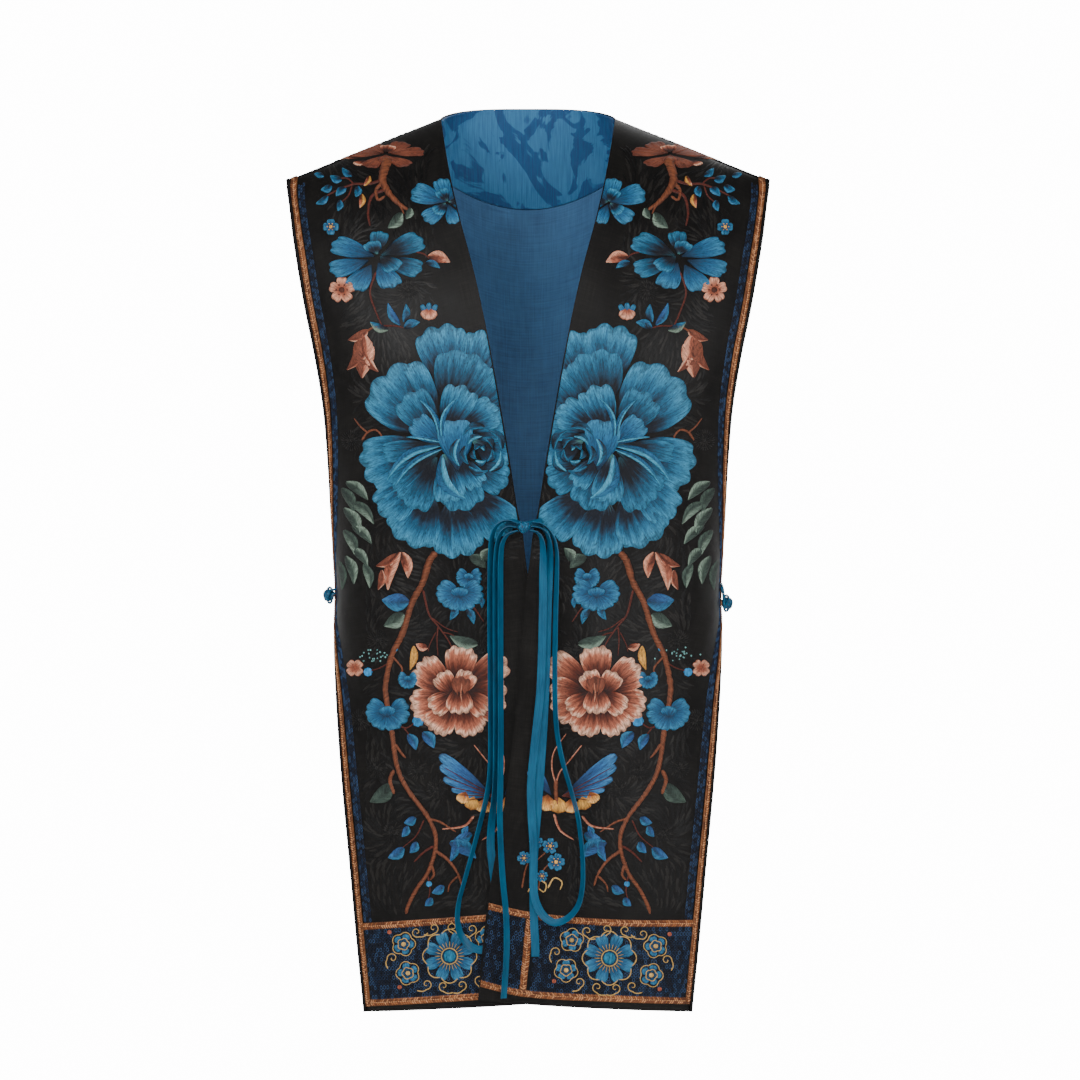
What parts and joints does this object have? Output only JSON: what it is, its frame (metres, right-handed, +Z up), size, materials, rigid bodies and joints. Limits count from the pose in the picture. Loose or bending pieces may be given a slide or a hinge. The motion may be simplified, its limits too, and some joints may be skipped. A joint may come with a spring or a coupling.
{
  "type": "long sleeveless silk waistcoat",
  "caption": "Long sleeveless open-front silk waistcoat with braid and woven hem bands, open sides closed by ball-and-loop toggles and a ribbon tie, in its worn, hollow form.",
  "frame": {"origin": "middle of the neck opening, level with the neck ends of the shoulder seams, where the wearer's shoulders hold the waistcoat up", "axes": "+Z up, -Y the way the front faces, +X towards the wearer's left side"},
  "size_m": [0.4268, 0.2127, 0.7945],
  "materials": {
    "satin": "black silk satin with coloured silk embroidery",
    "lining": "plain blue silk",
    "facing": "blue silk with a woven tone-on-tone figure",
    "binding": "black silk bias strip",
    "braid": "copper and gold thread braid",
    "band": "navy woven band with stitched flowers",
    "cord": "teal blue silk ribbon"
  },
  "bodies": {
    "root": {"front_left": "satin", "front_right": "satin", "back": "satin", "back_lining": "lining", "neck_facing": "facing", "binding_front_left": "binding", "side_braid_front_left": "braid", "binding_front_right": "binding", "side_braid_front_right": "braid", "binding_back_left": "binding", "side_braid_back_left": "braid", "binding_back_right": "binding", "side_braid_back_right": "braid", "hem_low_braid_front_left": "braid", "hem_top_braid_front_left": "braid", "hem_band_front_left": "band", "hem_low_braid_front_right": "braid", "hem_top_braid_front_right": "braid", "hem_band_front_right": "band", "hem_low_braid_back": "braid", "hem_top_braid_back": "braid", "hem_band_back": "band", "hem_band_lap": "band", "lap_braid": "braid", "tie_knot": "cord", "tie_root_right": "cord", "tie_root_left": "cord", "tie_loop_right": "cord", "tie_tail_right": "cord", "tie_loop_left": "cord", "tie_tail_left": "cord", "toggle_knot_right": "cord", "toggle_stem_right": "cord", "toggle_loop_right": "cord", "toggle_knot_left": "cord", "toggle_stem_left": "cord", "toggle_loop_left": "cord"}
  },
  "joints": []
}
